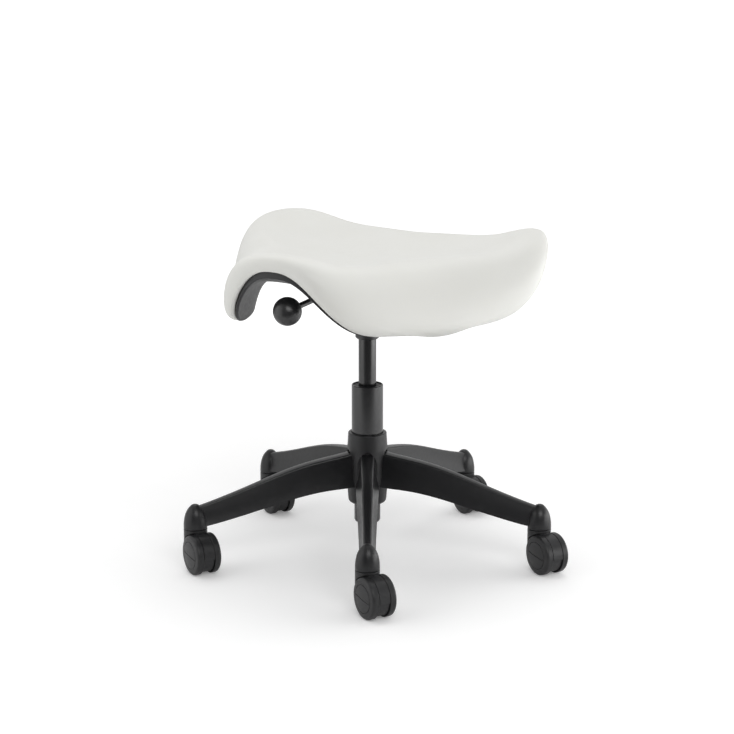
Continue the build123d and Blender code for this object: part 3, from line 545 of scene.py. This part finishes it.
def draw_cover():
    """Outer face of the upholstery down to its hem, as a skin with its last row and its fixed points."""
    skin = Skin()
    last = skin.disc(SEAT_RINGS, pad_top)
    for turn in EDGE_TURNS:
        last = skin.row(last, lambda angle: pad_edge(turn, angle))
    fixed_from = last[0]
    for share in HEM_SHARES:
        last = skin.row(last, lambda angle: pad_hem(share, angle))
    return skin, last, list(range(fixed_from, len(skin.points)))


def smooth_shifts(piece, shifts, held):
    """Evens out how far the points of a piece have moved."""
    near = [[] for _ in shifts]
    for edge in piece.data.edges:
        a, b = edge.vertices
        near[a].append(b)
        near[b].append(a)
    for _ in range(SIM_SMOOTHING):
        means = [sum((shifts[j] for j in around), Vector()) / len(around) for around in near]
        shifts = [Vector() if i in held else (shifts[i] + mean) / 2 for i, mean in enumerate(means)]
    return shifts


def simulate_cloth(piece, pinned):
    """Where the points of a piece go when it is blown up as cloth, held along its pinned points."""
    group = piece.vertex_groups.new(name="pinned")
    group.add(pinned, 1.0, "REPLACE")
    cloth = piece.modifiers.new("cloth", "CLOTH")
    settings = cloth.settings
    settings.quality = 6
    settings.mass = 0.4
    settings.tension_stiffness = 40
    settings.compression_stiffness = 40
    settings.shear_stiffness = 20
    settings.bending_stiffness = 8
    settings.use_pressure = True
    settings.uniform_pressure_force = SIM_PRESSURE
    settings.vertex_group_mass = "pinned"
    settings.effector_weights.gravity = 0
    cloth.point_cache.frame_end = SIM_FRAMES
    scene = bpy.context.scene
    for step in range(1, SIM_FRAMES + 1):
        scene.frame_set(step)
    graph = bpy.context.evaluated_depsgraph_get()
    moved = [v.co.copy() for v in piece.evaluated_get(graph).data.vertices]
    piece.modifiers.clear()
    scene.frame_set(1)
    return moved


def blow_up(piece, pinned):
    """Swells a piece as cloth held along its pinned points, and keeps each point near where it began."""
    start = [v.co.copy() for v in piece.data.vertices]
    normals = [v.normal.copy() for v in piece.data.vertices]
    held = set(pinned)
    for v in piece.data.vertices:
        if v.index not in held:
            v.co = start[v.index] - normals[v.index] * SIM_START_INSET * MM
    shifts = []
    for here, there in zip(start, simulate_cloth(piece, pinned)):
        shift = there - here
        if shift.length > SIM_CAP * MM:
            shift *= SIM_CAP * MM / shift.length
        shifts.append(shift)
    for v, shift in zip(piece.data.vertices, smooth_shifts(piece, shifts, held)):
        v.co = start[v.index] + shift
    piece.data.update()


def add_thickness(piece, thickness):
    """Gives a skin its thickness inwards, in its own mesh."""
    solid = piece.modifiers.new("thickness", "SOLIDIFY")
    solid.thickness = thickness * MM
    solid.offset = -1
    graph = bpy.context.evaluated_depsgraph_get()
    mesh = bpy.data.meshes.new_from_object(piece.evaluated_get(graph))
    piece.modifiers.clear()
    piece.data = mesh
    piece.data.shade_smooth()


def make_foam(cover, skin, last):
    """Foam under the cover: its own closed block, down to the shell."""
    depth = (COVER_THICKNESS + FOAM_GAP) * MM
    block = Skin()
    block.points = [v.co - v.normal * depth for v in cover.data.vertices]
    block.faces = list(skin.faces)
    for i in last:
        outwards = Vector((skin.points[i].x, skin.points[i].y, 0)).normalized()
        block.points[i] = skin.points[i] + outwards * FOAM_EDGE_OUT * MM + Vector((0, 0, depth))
    wall = block.row(last, lambda angle: shell_upper(1.0, SHELL_GAP, angle))
    block.disc(SEAT_RINGS, lambda share, angle: shell_top(share, SHELL_GAP, angle), rim=wall, downwards=True)
    return block.piece("seat_foam_block")


def lip_profile():
    """The two roundings of the shell's lowest edge, from the outside in, each point as (inward, raised)."""
    r = SHELL_EDGE_ROUND
    turns = [radians(turn) for turn in LIP_TURNS]
    outer = [(r - r * cos(turn), r - r * sin(turn)) for turn in turns]
    inner = [(SHELL_THICKNESS - r + r * cos(turn), r - r * sin(turn)) for turn in reversed(turns)]
    return outer + inner


def make_shell():
    """Moulded shell with its banded rim, as one closed skin."""
    skin = Skin()
    last = skin.disc(SEAT_RINGS, lambda share, angle: shell_top(share, 0.0, angle))
    for share in OUTSIDE_SHARES:
        last = skin.row(last, lambda angle: shell_outside(share, angle))
    for inward, raised in lip_profile():
        last = skin.row(last, lambda angle: shell_lip(inward, raised, angle))
    for share in INSIDE_SHARES:
        last = skin.row(last, lambda angle: shell_inside(share, angle))
    last = skin.row(last, lambda angle: shell_lower(1.0, angle))
    skin.disc(SEAT_RINGS, shell_under, rim=last, downwards=True)
    return skin.piece("seat_shell_moulding")


cover_skin, cover_edge, cover_fixed = draw_cover()
cover = cover_skin.piece("seat_upholstery")
blow_up(cover, cover_fixed)
foam_block = make_foam(cover, cover_skin, cover_edge)
add_thickness(cover, COVER_THICKNESS)
shell = make_shell()
for made, node, slot in (
    (cover, "seat_cover", "upholstery"),
    (foam_block, "seat_foam", "foam"),
    (shell, "seat_shell", "shell"),
):
    finish_piece(made, slot)
    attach(made, "seat")
    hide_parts(node)


# ---- studio, in metres and degrees -----------------------------------------------------------------------
CAMERA_PLACE = Vector((-0.0006, -2.9390, 0.9924))
CAMERA_TARGET = Vector((-0.0006, 0.0, 0.3041))
CAMERA_LENS = 93.92
FLOOR_HALF = 30.0
FLOOR_FRONT = -0.82
# The floor's own light, for the camera only, grows from the first distance to the second.
GLOW_DISTANCES = (0.5, 2.0)
GLOW_LEVELS = (0.17, 0.60)
# The surroundings' light grows from the camera's side to the far side, by the Y of its direction.
WORLD_DIRECTIONS = (-0.9, 0.3)
WORLD_LEVELS = (0.13, 0.80)
WORLD_SEEN = 1.1
WHITE = (1, 1, 1, 1)


def make_floor():
    """Wide white floor under the wheels, ending in front of the picture."""
    mesh = bpy.data.meshes.new("floor")
    h = FLOOR_HALF
    corners = [(-h, FLOOR_FRONT, 0), (h, FLOOR_FRONT, 0), (h, h, 0), (-h, h, 0)]
    mesh.from_pydata(corners, [], [(0, 1, 2, 3)])
    floor = new_object("floor", mesh)
    look = Look("floor", (0.93, 0.93, 0.93), roughness=0.9, specular=0.0)
    look.mottle(size=400.0, strength=0.3, color=(0.92, 0.92, 0.92))
    distance = look.add("ShaderNodeVectorMath", operation="LENGTH")
    look.feed(distance.inputs[0], look.place)
    glow = look.add("ShaderNodeMath", operation="MULTIPLY")
    look.feed(glow.inputs[0], look.map_range(distance.outputs["Value"], *GLOW_DISTANCES, *GLOW_LEVELS))
    look.feed(glow.inputs[1], look.add("ShaderNodeLightPath").outputs["Is Camera Ray"])
    look.feed(look.shader.inputs["Emission Strength"], glow.outputs[0])
    look.set("Emission Color", WHITE)
    floor.data.materials.append(look.material)


def make_world():
    """White surroundings, dimmer on the side that the camera stands on, white where seen directly."""
    world = bpy.data.worlds.new("studio")
    world.use_nodes = True
    nodes = Nodes(world.node_tree)
    background = nodes.tree.nodes["Background"]
    direction = nodes.add("ShaderNodeSeparateXYZ")
    nodes.feed(direction.inputs[0], nodes.add("ShaderNodeTexCoord").outputs["Generated"])
    pick = nodes.add("ShaderNodeMix")
    nodes.feed(pick.inputs[MIX_FACTOR], nodes.add("ShaderNodeLightPath").outputs["Is Camera Ray"])
    level = nodes.map_range(direction.outputs["Y"], *WORLD_DIRECTIONS, *WORLD_LEVELS)
    nodes.feed(pick.inputs[MIX_NUMBER_A], level)
    nodes.feed(pick.inputs[MIX_NUMBER_B], WORLD_SEEN)
    nodes.feed(background.inputs["Strength"], pick.outputs[MIX_NUMBER_OUT])
    nodes.feed(background.inputs["Color"], WHITE)
    bpy.context.scene.world = world


def aim_at(thing, target):
    """Turns a light or the camera to a point."""
    thing.rotation_euler = (target - thing.location).to_track_quat("-Z", "Y").to_euler()


def softbox(name, azimuth, distance, height, width, tall, power, aim):
    """Area light at an azimuth measured like the camera's, aimed at a height on the column axis."""
    light = bpy.data.lights.new(name, "AREA")
    light.shape = "RECTANGLE"
    light.size = width
    light.size_y = tall
    light.energy = power
    lamp = new_object(name, light)
    turn = radians(azimuth)
    lamp.location = Vector((sin(turn) * distance, -cos(turn) * distance, height))
    aim_at(lamp, Vector((0, 0, aim)))


def make_camera():
    """Camera at the viewing angle of the picture."""
    data = bpy.data.cameras.new("camera")
    data.lens = CAMERA_LENS
    camera = new_object("camera", data)
    camera.location = CAMERA_PLACE
    aim_at(camera, CAMERA_TARGET)
    bpy.context.scene.camera = camera


make_floor()
make_world()
softbox("right panel", azimuth=85, distance=1.25, height=0.28, width=1.5, tall=0.5, power=6, aim=0.25)
softbox("left panel", azimuth=-66, distance=1.3, height=0.65, width=1.3, tall=1.25, power=4, aim=0.65)
softbox("top panel", azimuth=180, distance=0.6, height=2.4, width=2.0, tall=2.0, power=11, aim=0.3)
softbox("front panel", azimuth=14, distance=2.6, height=2.0, width=2.0, tall=1.5, power=31, aim=0.5)
make_camera()
bpy.context.scene.view_settings.view_transform = "Standard"
